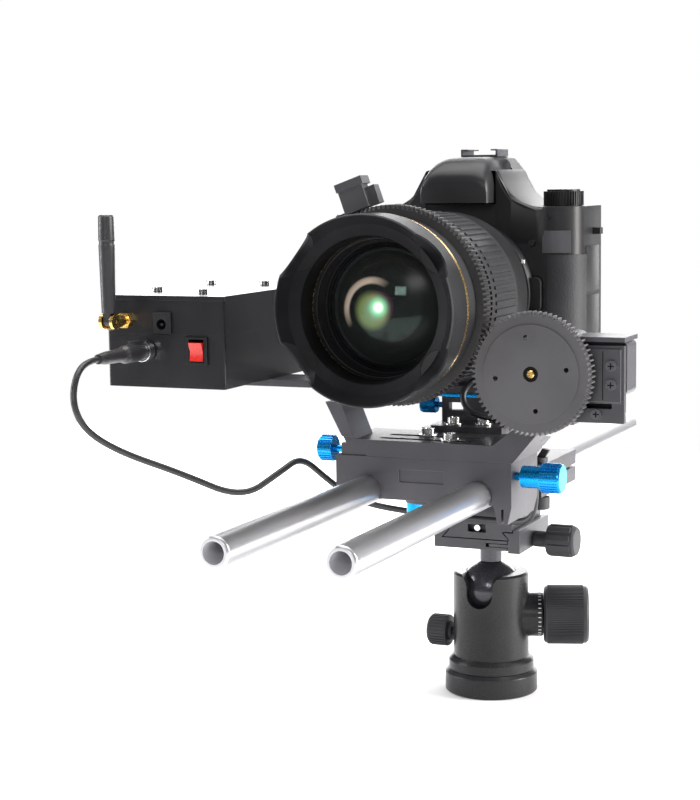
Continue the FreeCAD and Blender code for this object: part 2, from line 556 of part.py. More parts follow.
# --------------------------------------------------------------------- motor
def motor():
    x, z = "dim.motor_x", MOTOR_LEVEL
    face = "dim.gear_plane - dim.ring_width / 2"
    size = read("gear_module")
    outer = size * (read("drive_teeth") / 2 + 1)
    count = int(read("drive_teeth"))
    line = math.atan2(number(MOTOR_LEVEL) - read("lens_level"), read("motor_x"))
    wheel = ribbed(outer, 2.25 * size, count, 6, (x, face, z), "Y", 0.6, 0.4,
                   math.pi - line + math.pi / count)
    disc = rod(23.4, 1, (x, f"{face} - 0.7", z), "Y")
    holes = [rod(1.2, 12, (f"{x} + {across:.3f}", f"{face} - 3", f"{z} + {up:.3f}"), "Y")
             for across, up in around(17.6, 4, 8)]
    hub = rod(3.7, 12, (x, f"{face} - 3", z), "Y")
    spindle = cut(rod(2, 18, (x, f"{face} + 0.6", z), "Y"),
                  box((x + " + 1.5", x + " + 3"), (face, f"{face} + 5"), (z + " - 3", z + " + 3")))
    web = cut(rod(4.2, 3, (x, f"{face} + 2.8", z), "Y"), rod(1.9, 9, (x, face, z), "Y"))
    name(join(cut(join(wheel, disc), hub, *holes), web, spindle), "drive_gear")

    shelf = "dim.plate_level - 1.4"
    plate = box((62, 112), (-131, -127.4), (shelf, 210))
    pad = box((93.5, 110.6), (-132.2, -131), (183.5, 208.5))
    foot = box((62, 80), ("-127.4", "-66"), (shelf, shelf + " + 3.6"))
    gusset = extruded([(-127.4, 176), (-116, 176), (-127.4, 181)], 76.4, 80, "X")
    spindle_hole = rod(5.5, 9, (x, -134, z), "Y")
    slot = box((93, 106), ("-134", "-127"), (180.2, 182.6))
    name(cut(join(plate, pad, foot, gusset), spindle_hole, slot), "motor_bracket")

    can = rod(16.5, 50, (x, -127.4, z), "Y")
    drive_box = rounded(box((84, 112.4), (-127.4, -111), (186, 212)), 3, along((0, 1, 0)))
    lid = box((88, 113), (-134, -111), (212, 214.2))
    gland = rod(3.4, 5, (104, -111, 197), "Y")
    pocket = rod(4.6, 9, (x, -128, z), "Y")
    name(cut(join(can, drive_box, lid, gland), pocket, rod(2 + 0.3, 20, (x, -128, z), "Y")),
         "motor_case")

    heads = [rod(2.5, 1.6, (across, depth, up), "Y") for across, depth, up in
             ((106.2, -133.8, 200.6), (106.2, -133.8, 191.7), (98.8, -132.6, 177.6))]
    posts = [rod(2.9, 2.6, (across, depth, 228.2)) for across, depth in
             ((-168.5, -74), (-134, -86), (-168.5, -10), (-134, -10))]
    name(join(*heads, *posts), "panel_screws")


# ------------------------------------------------------------------ receiver
SOCKET = (-157.6, 198.6)
AERIAL = (-170.0, -124.0, 214.6)
SWITCH = (-127.0, 199.2)


def receiver():
    left, front = "dim.box_left", "dim.box_front"
    right, back = f"{left} + dim.box_width", f"{front} + dim.box_depth"
    floor = "dim.plate_level + dim.plate_thick"
    seam = f"{floor} + dim.box_height - dim.lid_height"
    top = f"{floor} + dim.box_height"
    wall = 2.5
    shell = rounded(box((left, right), (front, back), (floor, seam)), 1.6, along((0, 0, 1)))
    hollow = box((f"{left} + {wall}", f"{right} - {wall}"), (f"{front} + {wall}", f"{back} - {wall}"),
                 (f"{floor} + {wall}", f"{seam} + 1"))
    switch_hole = box((-133, -121), (f"{front} - 1", f"{front} + 4"), (192.6, 205.8))
    socket_hole = rod(4.6, 6, (SOCKET[0], f"{front} - 1", SOCKET[1]), "Y")
    name(cut(shell, hollow, switch_hole, socket_hole), "receiver_case")

    cover = rounded(box((left, right), (front, back), (seam, top)), 1.6, along((0, 0, 1)))
    hollow = box((f"{left} + {wall}", f"{right} - {wall}"), (f"{front} + {wall}", f"{back} - {wall}"),
                 (f"{seam} - 1", f"{top} - {wall}"))
    lip = box((f"{left} - 0.6", f"{right} + 0.6"), (f"{front} - 0.8", f"{front} + 1"),
              (f"{top} - 2.6", top))
    jack_hole = box((-152, -142.6), (f"{front} - 1", f"{front} + 4"), (208.6, 218.8))
    aerial_hole = rod(3.2, 6, (AERIAL[0], f"{front} - 1", AERIAL[2]), "Y")
    name(cut(join(cover, lip), hollow, jack_hole, aerial_hole), "receiver_lid")

    plate = box((-152.7, -141.9), (f"{front} - 1.6", front), (207.9, 219.4))
    barrel = box((-152, -142.6), (front, f"{front} + 11"), (208.6, 218.8))
    name(join(cut(join(plate, barrel), rod(2.85, 9, (-147.8, f"{front} - 1.6", 212.8), "Y")),
              rod(0.9, 9, (-147.8, f"{front} - 1", 212.8), "Y")), "power_jack")

    bezel = box((-133.6, -120.4), (f"{front} - 1.4", front), (191.8, 206.4))
    housing = box((-133, -121), (front, f"{front} + 12"), (192.6, 205.8))
    well = box((-131.4, -122.6), (f"{front} - 3", f"{front} + 9"), (SWITCH[1] - 6, SWITCH[1] + 6))
    name(cut(join(bezel, housing), well), "switch_bezel")
    rocker = extruded([(-4.6, 5), (-3.4, 0), (-4.6, -5), (-1, -4.6), (3, -2.4), (3, 2.4), (-1, 4.6)],
                      0, 7.8, "X")
    rocker = cut(rocker, rod(0.6, 9, (-0.6, 0, 0), "X"))
    name(place(rocker, (SWITCH[0] - 3.9, "dim.box_front + 2", SWITCH[1]),
               Rotation(Vector(1, 0, 0), 8)), "power_rocker")

    name(on_socket([(0, -2), (4.5, -2), (4.5, 1.2), (5.7, 1.2), (5.7, 6.4), (4.7, 6.4), (4.7, 2.6),
                    (0, 2.6)]), "cable_socket")
    name(join(on_socket([(0, 2.6), (4.6, 2.6), (4.6, 12), (4.9, 13), (4.9, 24), (4.3, 26), (3.7, 28),
                         (3.4, 44), (2.6, 50.4), (0, 50.4)]),
              box((SOCKET[0] - 2.2, SOCKET[0] + 2.2), ("-122.5", "-112.6"), (202.6, 204.8))),
         "cable_plug")

    x, y, z = AERIAL
    hexagon = [(4.6 * across, 4.6 * up) for across, up in around(1, 6)]
    nut = extruded([(across + x, up + z) for across, up in hexagon], -109.4, -106)
    name(join(nut, rod(3.1, 12, (x, -115.6, z), "Y")), "aerial_mount")
    pivot = z + 0.7
    knuckle = join(rod(4, 8.4, (x - 4.2, y, pivot), "X"), rod(4.1, 6, (x, -117, z), "-Y"))
    name(cut(knuckle, rod("3.1 + dim.fit", 6, (x, -115.9, z), "Y"),
             box((x - 2.4, x + 2.4), (-130, -120.6), (pivot - 3.3, pivot + 6)),
             box((x - 2.4, x + 2.4), (-130, y), (pivot - 6, pivot)),
             rod("1.2 + dim.fit", 12, (x - 6, y, pivot), "X")), "aerial_elbow")
    whip = turned([(0, 5), (3.7, 5), (4.4, 40), (4.4, 41.2), (4.1, 41.6), (4.1, 43.2), (4.4, 43.6),
                   (4.2, 56), (3.4, 57), (0, 57)], (x, y, z))
    tongue = join(box((x - 2.1, x + 2.1), (y - 2.6, y + 2.6), (pivot, z + 6)),
                  rod(2.6, 4.2, (x - 2.1, y, pivot), "X"))
    name(join(whip, tongue, rod(1.2, 7.4, (x - 3.7, y, pivot), "X")), "aerial_rod")


def on_socket(points):
    """A lathe part about the socket's axis: heights run out of the box's face."""
    return turned(points, (SOCKET[0], "dim.box_front", SOCKET[1]), "-Y")


# --------------------------------------------------------------------- cable
CABLE_ROUTE = [(-157.6, -156.4, 198.6), (-157.6, -168.5, 198.6), (-157.2, -179.5, 191.5),
               (-156.2, -184.0, 178.5), (-152.0, -180.0, 165.0), (-140.0, -166.0, 152.6),
               (-117.0, -146.0, 140.2), (-91.5, -127.0, 125.0), (-76.0, -112.4, 138.0),
               (-69.6, -101.0, 144.6), (-62.0, -86.0, 131.0), (-54.0, -68.0, 117.0),
               (-39.0, -54.0, 110.5), (-20.0, -43.0, 107.0), (0.0, -37.0, 104.8),
               (18.0, -36.2, 104.2), (31.0, -41.5, 105.4), (40.5, -50.5, 109.6),
               (44.6, -57.4, 117.5), (45.6, -59.5, 127.5), (44.4, -59.5, 139.0),
               (41.8, -59.5, 150.0), (37.5, -61.5, 160.0), (28.5, -65.0, 163.4),
               (19.5, -67.8, 165.0), (11.0, -68.4, 168.4), (7.4, -66.2, 175.4),
               (10.0, -63.0, 181.6), (17.0, -60.6, 185.0), (26.0, -59.8, 185.2),
               (42.0, -59.2, 184.4), (63.0, -60.0, 186.0), (80.0, -62.0, 190.0),
               (94.0, -70.0, 194.0), (102.0, -82.0, 196.5), (104.0, -94.0, 197.0),
               (104.0, -106.0, 197.0)]


def tube(route, radius):
    """A round cord: straight runs joined by arcs that touch both runs."""
    points = [Vector(*point) for point in route]
    edges, here, radii = [], points[0], []
    for before, corner, after in zip(points, points[1:], points[2:]):
        to_corner, from_corner = corner - before, after - corner
        turn = to_corner.getAngle(from_corner)
        reach = 0.45 * min(to_corner.Length, from_corner.Length)
        radii.append(reach / math.tan(turn / 2))
        start = corner - to_corner.normalize() * reach
        end = corner + from_corner.normalize() * reach
        toward = (start + end) * 0.5 - corner
        middle_distance = math.hypot(radii[-1], reach) - radii[-1]
        middle = corner + toward.normalize() * middle_distance
        edges += [Part.LineSegment(here, start).toShape(), Part.Arc(start, middle, end).toShape()]
        here = end
    edges.append(Part.LineSegment(here, points[-1]).toShape())
    path = Part.Wire(edges)
    first = (points[1] - points[0]).normalize()
    section = Part.Wire(Part.Circle(points[0], first, radius).toShape())
    shape = path.makePipeShell([section], True, False)
    print("arc radii", [round(value, 1) for value in radii])
    print(f"cord length {path.Length:.1f}  volume ratio "
          f"{shape.Volume / (math.pi * radius ** 2 * path.Length):.5f}")
    return shape


def cable():
    item = doc.addObject("Part::Feature", "cable")
    item.Shape = tube(CABLE_ROUTE, read("cable_radius"))
    name(item, "cable")


STEPS = [ball_head, quick_release, rods, front_block, rear_clamp, cradle, camera_support, camera_body,
         camera_controls, lens, motor, receiver, cable]
for step in STEPS:
    step()


def check_and_write():
    """Stop on any failed object; otherwise write one STEP file per sub-part."""
    doc.recompute()
    failed = [item.Name for item in doc.Objects if {"Invalid", "Error"} & set(item.State)]
    failed += [item.Label for item in SUBPARTS if item.Shape.isNull() or not item.Shape.isValid()]
    if failed:
        raise RuntimeError(f"failed: {failed}")
    os.makedirs("parts", exist_ok=True)
    for item in SUBPARTS:
        item.Shape.exportStep(f"parts/{item.Label}.step")
        limits = item.Shape.BoundBox
        print(f"{item.Label:18s} solids {len(item.Shape.Solids)}  volume {item.Shape.Volume:9.0f}  "
              f"x {limits.XMin:7.1f} {limits.XMax:7.1f}  y {limits.YMin:7.1f} {limits.YMax:7.1f}  "
              f"z {limits.ZMin:7.1f} {limits.ZMax:7.1f}")


check_and_write()
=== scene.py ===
"""Looks of a camera rig on a ball head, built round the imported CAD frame.

Helpers take millimetres in the CAD's frame (+Z up, -Y towards what the lens
looks at, +X towards the focus motor); the meshes themselves hold metres.
"""
import json
import math

import bmesh
import bpy
from mathutils import Matrix, Vector


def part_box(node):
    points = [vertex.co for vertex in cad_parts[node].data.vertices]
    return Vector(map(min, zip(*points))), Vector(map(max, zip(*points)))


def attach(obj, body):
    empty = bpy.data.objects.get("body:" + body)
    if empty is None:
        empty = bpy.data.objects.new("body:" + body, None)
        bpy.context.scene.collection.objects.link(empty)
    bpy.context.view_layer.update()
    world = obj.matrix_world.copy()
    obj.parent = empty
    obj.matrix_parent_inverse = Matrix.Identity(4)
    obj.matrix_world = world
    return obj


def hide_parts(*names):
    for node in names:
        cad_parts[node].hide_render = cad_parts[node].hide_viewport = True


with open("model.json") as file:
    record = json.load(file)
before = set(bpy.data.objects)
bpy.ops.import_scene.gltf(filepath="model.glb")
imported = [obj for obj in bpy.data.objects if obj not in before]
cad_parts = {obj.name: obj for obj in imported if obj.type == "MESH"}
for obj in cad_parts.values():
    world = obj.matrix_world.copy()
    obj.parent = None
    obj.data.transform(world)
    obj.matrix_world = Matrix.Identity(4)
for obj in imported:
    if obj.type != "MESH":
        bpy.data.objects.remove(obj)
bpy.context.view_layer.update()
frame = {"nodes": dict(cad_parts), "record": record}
MM = 0.001
LENS_LEVEL = 227.7
LOCK_TURN = math.radians(19)


# -------------------------------------------------------------------- camera
CAMERA_AT = Vector((0.3376, -0.9630, 0.2914))
AZIMUTH, ELEVATION, ROLL = math.radians(23.72), math.radians(7.02), math.radians(-0.75)
FOCAL_LENGTH = 82.7


def make_camera():
    """The camera looks along its azimuth and elevation, then rolls about that line."""
    look = Vector((-math.sin(AZIMUTH) * math.cos(ELEVATION),
                   math.cos(AZIMUTH) * math.cos(ELEVATION), -math.sin(ELEVATION)))
    right = Vector((math.cos(AZIMUTH), math.sin(AZIMUTH), 0))
    up = right.cross(look)
    rolled = math.cos(ROLL) * right + math.sin(ROLL) * up
    upright = math.cos(ROLL) * up - math.sin(ROLL) * right
    turn = Matrix((rolled, upright, -look)).transposed().to_4x4()
    data = bpy.data.cameras.new("camera")
    data.sensor_width, data.lens = 36, FOCAL_LENGTH
    data.clip_start, data.clip_end = 0.05, 100
    camera = bpy.data.objects.new("camera", data)
    camera.matrix_world = Matrix.Translation(CAMERA_AT) @ turn
    bpy.context.scene.collection.objects.link(camera)
    bpy.context.scene.camera = camera


# ----------------------------------------------------------------- materials
def set_inputs(shader, **values):
    """Set a shader's sockets, whose names have spaces where these have underscores."""
    for socket, value in values.items():
        shader.inputs[socket.replace("_", " ")].default_value = value


def colours_of(sockets):
    """The colour sockets of a Mix node, which has a set for each kind of value."""
    return [slot for slot in sockets if slot.type == "RGBA"]


def remap(tree, source, limits, results=(0, 1)):
    """A value taken from one span to another, and held at its ends."""
    node = tree.nodes.new("ShaderNodeMapRange")
    for name, value in zip(("From Min", "From Max", "To Min", "To Max"), (*limits, *results)):
        node.inputs[name].default_value = value
    tree.links.new(source, node.inputs["Value"])
    return node.outputs["Result"]


def object_place(tree):
    """Where a point is in the object's own frame, in metres."""
    return tree.nodes.new("ShaderNodeTexCoord").outputs["Object"]


def off_line(tree, where, place):
    """How far a point is off a line along Y through a place in metres: the offset and its length."""
    middle, flat, reach = [tree.nodes.new("ShaderNodeVectorMath") for _ in range(3)]
    middle.operation, flat.operation, reach.operation = "SUBTRACT", "MULTIPLY", "LENGTH"
    middle.inputs[1].default_value = place
    flat.inputs[1].default_value = (1, 0, 1)
    tree.links.new(where, middle.inputs[0])
    tree.links.new(middle.outputs["Vector"], flat.inputs[0])
    tree.links.new(flat.outputs["Vector"], reach.inputs[0])
    return flat.outputs["Vector"], reach.outputs["Value"]


# Specular levels below the usual 0.5, for blacks that would look grey with it.
SHEEN = {name: 0.28 for name in ("head_black", "camera_plastic", "leather", "lens_black", "lens_rubber",
                                 "gear_black", "box_plastic", "knob_rubber", "hood_black")}


def material(name, colour, roughness, metallic=0.0, second=None, patch=30, grain=900, bump=0.1,
             depth=0.0001, rough_span=0.08, stretch=(1, 1, 1), wear_and_highlight=0.0, cells=0, **inputs):
    """A Principled material with patchy colour, fine grain in bump and gloss, and edges painted lighter,
    partly as wear and partly as a painted highlight.

    patch, grain and cells are noise scales per metre, and stretch draws the grain out along an axis.
    """
    made = bpy.data.materials.new(name)
    made.use_nodes = True
    tree = made.node_tree
    nodes, links = tree.nodes, tree.links
    shader = nodes["Principled BSDF"]
    set_inputs(shader, Metallic=metallic, Specular_IOR_Level=SHEEN.get(name, 0.5))
    set_inputs(shader, **inputs)
    where = object_place(tree)
    mapping = nodes.new("ShaderNodeMapping")
    mapping.inputs["Scale"].default_value = stretch
    links.new(where, mapping.inputs["Vector"])

    def noise(scale, detail=3.0):
        node = nodes.new("ShaderNodeTexNoise")
        node.inputs["Scale"].default_value = scale
        node.inputs["Detail"].default_value = detail
        links.new(mapping.outputs["Vector"], node.inputs["Vector"])
        return node.outputs["Fac"]

    def spread(source, low, high):
        return remap(tree, source, (0.35, 0.65), (low, high))

    def mix(factor, first, other):
        node = nodes.new("ShaderNodeMix")
        node.data_type = "RGBA"
        links.new(factor, node.inputs["Factor"])
        for target, value in zip(colours_of(node.inputs), (first, other)):
            if isinstance(value, tuple):
                target.default_value = (*value, 1)
            else:
                links.new(value, target)
        return colours_of(node.outputs)[0]

    other = second or tuple(min(1, part * 1.25 + 0.004) for part in colour)
    tint = mix(spread(noise(patch), 0, 1), colour, other)
    # Edges painted lighter, partly wear and partly a painted highlight where edges catch the light.
    if wear_and_highlight:
        edge = nodes.new("ShaderNodeBevel")
        edge.samples = 4
        edge.inputs["Radius"].default_value = 0.0004
        flat = nodes.new("ShaderNodeNewGeometry")
        angle = nodes.new("ShaderNodeVectorMath")
        angle.operation = "DOT_PRODUCT"
        links.new(edge.outputs["Normal"], angle.inputs[0])
        links.new(flat.outputs["True Normal"], angle.inputs[1])
        worn_and_lit = remap(tree, angle.outputs["Value"], (0.99, 0.85), (0, wear_and_highlight))
        tint = mix(worn_and_lit, tint, tuple(min(1, part * 2.2 + 0.12) for part in colour))
    links.new(tint, shader.inputs["Base Color"])
    fine = noise(grain, 2)
    links.new(spread(fine, roughness - rough_span, roughness + rough_span), shader.inputs["Roughness"])
    relief = fine
    if cells:
        pebbles = nodes.new("ShaderNodeTexVoronoi")
        pebbles.inputs["Scale"].default_value = cells
        links.new(where, pebbles.inputs["Vector"])
        relief = pebbles.outputs["Distance"]
    raised = nodes.new("ShaderNodeBump")
    raised.inputs["Strength"].default_value, raised.inputs["Distance"].default_value = bump, depth
    links.new(relief, raised.inputs["Height"])
    links.new(raised.outputs["Normal"], shader.inputs["Normal"])
    return made


# Painted reflections on the inner element: the centre of a painted glow, of a painted white highlight, and
# their reach, in metres.
REFLECTION_AT = (-0.0063, 0, 0.2259)
HIGHLIGHT_AT = (-0.0028, 0, 0.2277)
REFLECTION_REACH = 0.018
NO_REFLECTION = (0.002, 0.002, 0.002)


def painted_lens_reflections():
    """Dark lens glass with painted reflections in its coatings' colours, as rings in metres about two
    places on it.

    A painted green and yellow glow, a painted white highlight by its middle, and a pale painted crescent
    up and to the left.
    """
    made = material("painted_reflections", (0.01, 0.02, 0.015), 0.22, grain=50, bump=0.0, rough_span=0.01,
                    Specular_IOR_Level=0.1)
    tree = made.node_tree
    nodes, links = tree.nodes, tree.links
    where = object_place(tree)
    offset, from_reflection = off_line(tree, where, REFLECTION_AT)
    from_highlight = off_line(tree, where, HIGHLIGHT_AT)[1]

    def ramp(source, limits, stops):
        colours = nodes.new("ShaderNodeValToRGB")
        elements = colours.color_ramp.elements
        elements[0].position, elements[0].color = stops[0][0], (*stops[0][1], 1)
        elements[1].position, elements[1].color = stops[-1][0], (*stops[-1][1], 1)
        for position, colour in stops[1:-1]:
            elements.new(position).color = (*colour, 1)
        links.new(remap(tree, source, limits), colours.inputs["Fac"])
        return colours.outputs["Color"]

    # Each ramp paints a reflection in rings: a green and yellow glow, a white highlight fringed green and
    # magenta, a pale crescent.
    glow = ramp(from_reflection, (0, REFLECTION_REACH), [
        (0.0, (0.16, 0.30, 0.16)), (0.2, (0.13, 0.24, 0.11)), (0.38, (0.13, 0.17, 0.05)),
        (0.5, (0.04, 0.05, 0.02)), (0.58, NO_REFLECTION), (1.0, NO_REFLECTION)])
    highlight = ramp(from_highlight, (0, REFLECTION_REACH), [
        (0.0, (1.0, 1.0, 1.0)), (0.09, (0.9, 1.0, 0.95)), (0.17, (0.18, 0.50, 0.32)),
        (0.3, (0.03, 0.10, 0.07)), (0.36, (0.05, 0.012, 0.03)), (0.46, NO_REFLECTION), (1.0, NO_REFLECTION)])
    crescent_reflection = ramp(from_reflection, (0, REFLECTION_REACH), [
        (0.0, NO_REFLECTION), (0.70, NO_REFLECTION), (0.76, (0.42, 0.34, 0.27)), (0.86, (0.33, 0.26, 0.21)),
        (0.93, NO_REFLECTION), (1.0, NO_REFLECTION)])
    split, slant = nodes.new("ShaderNodeSeparateXYZ"), nodes.new("ShaderNodeMath")
    slant.operation = "SUBTRACT"
    links.new(offset, split.inputs[0])
    links.new(split.outputs["Z"], slant.inputs[0])
    links.new(split.outputs["X"], slant.inputs[1])
    up_and_left = ramp(slant.outputs[0], (0.004, 0.016), [
        (0.0, (0, 0, 0)), (0.5, (0.5, 0.5, 0.5)), (1.0, (1, 1, 1))])
    shown = nodes.new("ShaderNodeMix")
    shown.data_type, shown.blend_type = "RGBA", "MIX"
    links.new(up_and_left, shown.inputs["Factor"])
    plain, pale = colours_of(shown.inputs)
    plain.default_value = (*NO_REFLECTION, 1)
    links.new(crescent_reflection, pale)
    light = colours_of(shown.outputs)[0]
    for layer in (glow, highlight):
        total = nodes.new("ShaderNodeMix")
        total.data_type, total.blend_type = "RGBA", "ADD"
        total.inputs["Factor"].default_value = 1
        first, second = colours_of(total.inputs)
        links.new(layer, first)
        links.new(light, second)
        light = colours_of(total.outputs)[0]
    shader = nodes["Principled BSDF"]
    links.new(light, shader.inputs["Base Color"])
    # The painted reflections are also emitted, so the glass glows though it is no lamp.
    links.new(light, shader.inputs["Emission Color"])
    shader.inputs["Emission Strength"].default_value = 0.38
    return made


HOOD_INSIDE = (0.0441, 0.0446)


def hood_black():
    """The hood's satin black, with a dull black lining on every face inside its rim."""
    made = material("hood_black", (0.009, 0.009, 0.010), 0.42, grain=2600, bump=0.2)
    tree = made.node_tree
    reach = off_line(tree, object_place(tree), (0, 0, LENS_LEVEL * MM))[1]
    gloss = remap(tree, reach, HOOD_INSIDE, (0.03, 0.2))
    tree.links.new(gloss, tree.nodes["Principled BSDF"].inputs["Specular IOR Level"])
    return made


MATERIALS = {
    "head_black": material("head_black", (0.012, 0.012, 0.013), 0.3, grain=2600, bump=0.25, wear_and_highlight=0.12),
    "knob_rubber": material("knob_rubber", (0.03, 0.03, 0.033), 0.5, grain=2200, bump=0.3),
    "ball_metal": material("ball_metal", (0.045, 0.045, 0.052), 0.2, 0.5, grain=1800, bump=0.05),
    "clamp_grey": material("clamp_grey", (0.055, 0.054, 0.06), 0.4, 0.35, grain=3000, bump=0.2,
                           wear_and_highlight=0.35),
    "rod_silver": material("rod_silver", (0.56, 0.56, 0.58), 0.34, 0.95, second=(0.51, 0.51, 0.53),
                           patch=8, grain=900, bump=0.02, rough_span=0.03),
    "block_grey": material("block_grey", (0.050, 0.048, 0.055), 0.42, 0.3, grain=3200, bump=0.25,
                           wear_and_highlight=0.25),
    "blue_anodised": material("blue_anodised", (0.005, 0.27, 0.68), 0.24, 0.9,
                              second=(0.01, 0.36, 0.80), grain=1800, bump=0.06, wear_and_highlight=0.3),
    "steel": material("steel", (0.62, 0.61, 0.60), 0.2, 1.0, grain=1500, bump=0.06),
    "camera_plastic": material("camera_plastic", (0.009, 0.009, 0.010), 0.4, grain=3600, bump=0.45),
    "leather": material("leather", (0.016, 0.016, 0.018), 0.55, grain=2500, bump=0.55, depth=0.00018,
                        cells=1500),
    "screen": material("screen", (0.008, 0.008, 0.01), 0.08, grain=300, bump=0.01, rough_span=0.02),
    "lens_black": material("lens_black", (0.009, 0.009, 0.010), 0.4, grain=2600, bump=0.2),
    # The lens's own near-black, also used as painted shade in holes, recesses, a slot and a slit.
    "lens_inside": material("lens_inside", (0.0015, 0.0015, 0.002), 0.5, grain=2000, bump=0.1,
                            Specular_IOR_Level=0.12),
    "lens_rubber": material("lens_rubber", (0.02, 0.02, 0.022), 0.46, grain=1800, bump=0.3),
    "gold": material("gold", (0.78, 0.52, 0.17), 0.24, 1.0, grain=1500, bump=0.05),
    "gear_black": material("gear_black", (0.03, 0.029, 0.03), 0.4, grain=1800, bump=0.2),
    "gear_grey": material("gear_grey", (0.062, 0.06, 0.064), 0.5, 0.1, grain=3000, bump=0.25, wear_and_highlight=0.2),
    "box_plastic": material("box_plastic", (0.017, 0.017, 0.019), 0.24, patch=18, grain=700, bump=0.08,
                            depth=0.00005, stretch=(1, 1, 0.1), rough_span=0.03),
    "red_plastic": material("red_plastic", (0.62, 0.02, 0.015), 0.22, second=(0.75, 0.05, 0.03),
                            grain=700, bump=0.05),
    # Painted lens reflections, for the inner element.
    "painted_reflections": painted_lens_reflections(),
    "hood_black": hood_black(),
    "bore_silver": material("bore_silver", (0.55, 0.55, 0.57), 0.5, 0.2, grain=900, bump=0.05),
    "dark_steel": material("dark_steel", (0.10, 0.10, 0.11), 0.35, 0.8, grain=900, bump=0.05),
    "white_paint": material("white_paint", (0.78, 0.78, 0.76), 0.45, grain=1500, bump=0.05),
    "chrome": material("chrome", (0.72, 0.72, 0.74), 0.12, 1.0, grain=900, bump=0.03, rough_span=0.04),
    "cable_black": material("cable_black", (0.018, 0.018, 0.02), 0.38, grain=1200, bump=0.12),
    "lens_glass": material("lens_glass", (0.10, 0.16, 0.14), 0.03, 0.6, grain=50, bump=0.0,
                           rough_span=0.005, Alpha=0.1),
}


# --------------------------------------------------------------- CAD finishes
def make_soft_edges():
    """Geometry nodes that shade smooth except across edges sharper than a limit."""
    tree = bpy.data.node_groups.new("soft_edges", "GeometryNodeTree")
    tree.interface.new_socket("Geometry", in_out="INPUT", socket_type="NodeSocketGeometry")
    tree.interface.new_socket("Geometry", in_out="OUTPUT", socket_type="NodeSocketGeometry")
    nodes, links = tree.nodes, tree.links
    start, end = nodes.new("NodeGroupInput"), nodes.new("NodeGroupOutput")
    plain = nodes.new("GeometryNodeRemoveAttribute")
    plain.inputs["Name"].default_value = "custom_normal"
    faces = nodes.new("GeometryNodeSetShadeSmooth")
    edges = nodes.new("GeometryNodeSetShadeSmooth")
    edges.domain = "EDGE"
    edges.inputs["Shade Smooth"].default_value = False
    angle = nodes.new("GeometryNodeInputMeshEdgeAngle")
    sharp = nodes.new("FunctionNodeCompare")
    sharp.operation = "GREATER_THAN"
    sharp.inputs["B"].default_value = math.radians(32)
    links.new(start.outputs[0], plain.inputs["Geometry"])
    links.new(plain.outputs[0], faces.inputs["Geometry"])
    links.new(faces.outputs[0], edges.inputs["Geometry"])
    links.new(angle.outputs["Unsigned Angle"], sharp.inputs["A"])
    links.new(sharp.outputs[0], edges.inputs["Selection"])
    links.new(edges.outputs[0], end.inputs[0])
    return tree


SOFT_EDGES = make_soft_edges()


def soften(item, width, segments=2, limit=32):
    """Round an object's sharp edges by a bevel of some millimetres, without touching its mesh."""
    if width:
        bevel = item.modifiers.new("bevel", "BEVEL")
        bevel.width, bevel.segments = width * MM, segments
        bevel.limit_method, bevel.angle_limit = "ANGLE", math.radians(limit)
        bevel.miter_outer = "MITER_ARC"
        bevel.use_clamp_overlap = True
    shade = item.modifiers.new("shade", "NODES")
    shade.node_group = SOFT_EDGES


def finish_node(node, slot, width=0.25):
    """Give a CAD node its material, and edges that catch the light."""
    item = frame["nodes"][node]
    item.data.materials.clear()
    item.data.materials.append(MATERIALS[slot])
    weld = item.modifiers.new("weld", "WELD")
    weld.merge_threshold = 1e-6
    flat = item.modifiers.new("flat", "DECIMATE")
    flat.decimate_type, flat.angle_limit = "DISSOLVE", math.radians(0.5)
    soften(item, width)
    even = item.modifiers.new("even", "WEIGHTED_NORMAL")
    even.keep_sharp = True


# -------------------------------------------------------------- added pieces
LENS_AXIS = {"at": (0, 0, LENS_LEVEL), "axis": (0, 1, 0)}


def piece(label, shape, slot, body, finish=None, width=0.0):
    """Link a built shape as a piece that rides on a body; finish names a material of its own."""
    bmesh.ops.recalc_face_normals(shape, faces=shape.faces)
    mesh = bpy.data.meshes.new(label)
    shape.to_mesh(mesh)
    shape.free()
    mesh.materials.append(MATERIALS[finish or slot])
    item = bpy.data.objects.new(label, mesh)
    bpy.context.scene.collection.objects.link(item)
    soften(item, width)
    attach(item, body)
    return item


def across(axis):
    """An axis and two directions square to it."""
    forward = Vector(axis).normalized()
    side = forward.orthogonal().normalized()
    return forward, side, forward.cross(side)


def lathe(label, points, slot, body="rig", at=(0, 0, 0), axis=(0, 0, 1), segments=96, closed=False,
          **options):
    """A turned piece: points are (radius, reach along the axis) pairs."""
    forward, side, other = across(axis)
    shape = bmesh.new()
    rings = []
    for radius, reach in points:
        count = segments if radius else 1
        ring = []
        for index in range(count):
            turn = 2 * math.pi * index / count
            out = (side * math.cos(turn) + other * math.sin(turn)) * radius
            ring.append(shape.verts.new((Vector(at) + forward * reach + out) * MM))
        rings.append(ring)
    for first, second in zip(rings, rings[1:] + (rings[:1] if closed else [])):
        for index in range(segments):
            after = (index + 1) % segments
            corners = [first[index % len(first)], first[after % len(first)],
                       second[after % len(second)], second[index % len(second)]]
            corners = list(dict.fromkeys(corners))
            if len(corners) > 2:
                shape.faces.new(corners)
    return piece(label, shape, slot, body, **options)


def slabs(label, blocks, slot, body="rig", **options):
    """Blocks given by x, y and z limits, as one piece."""
    shape = bmesh.new()
    for spans in blocks:
        made = bmesh.ops.create_cube(shape, size=1)["verts"]
        for vert in made:
            vert.co = Vector([(low + high) / 2 + part * (high - low)
                              for part, (low, high) in zip(vert.co, spans)]) * MM
    return piece(label, shape, slot, body, **options)


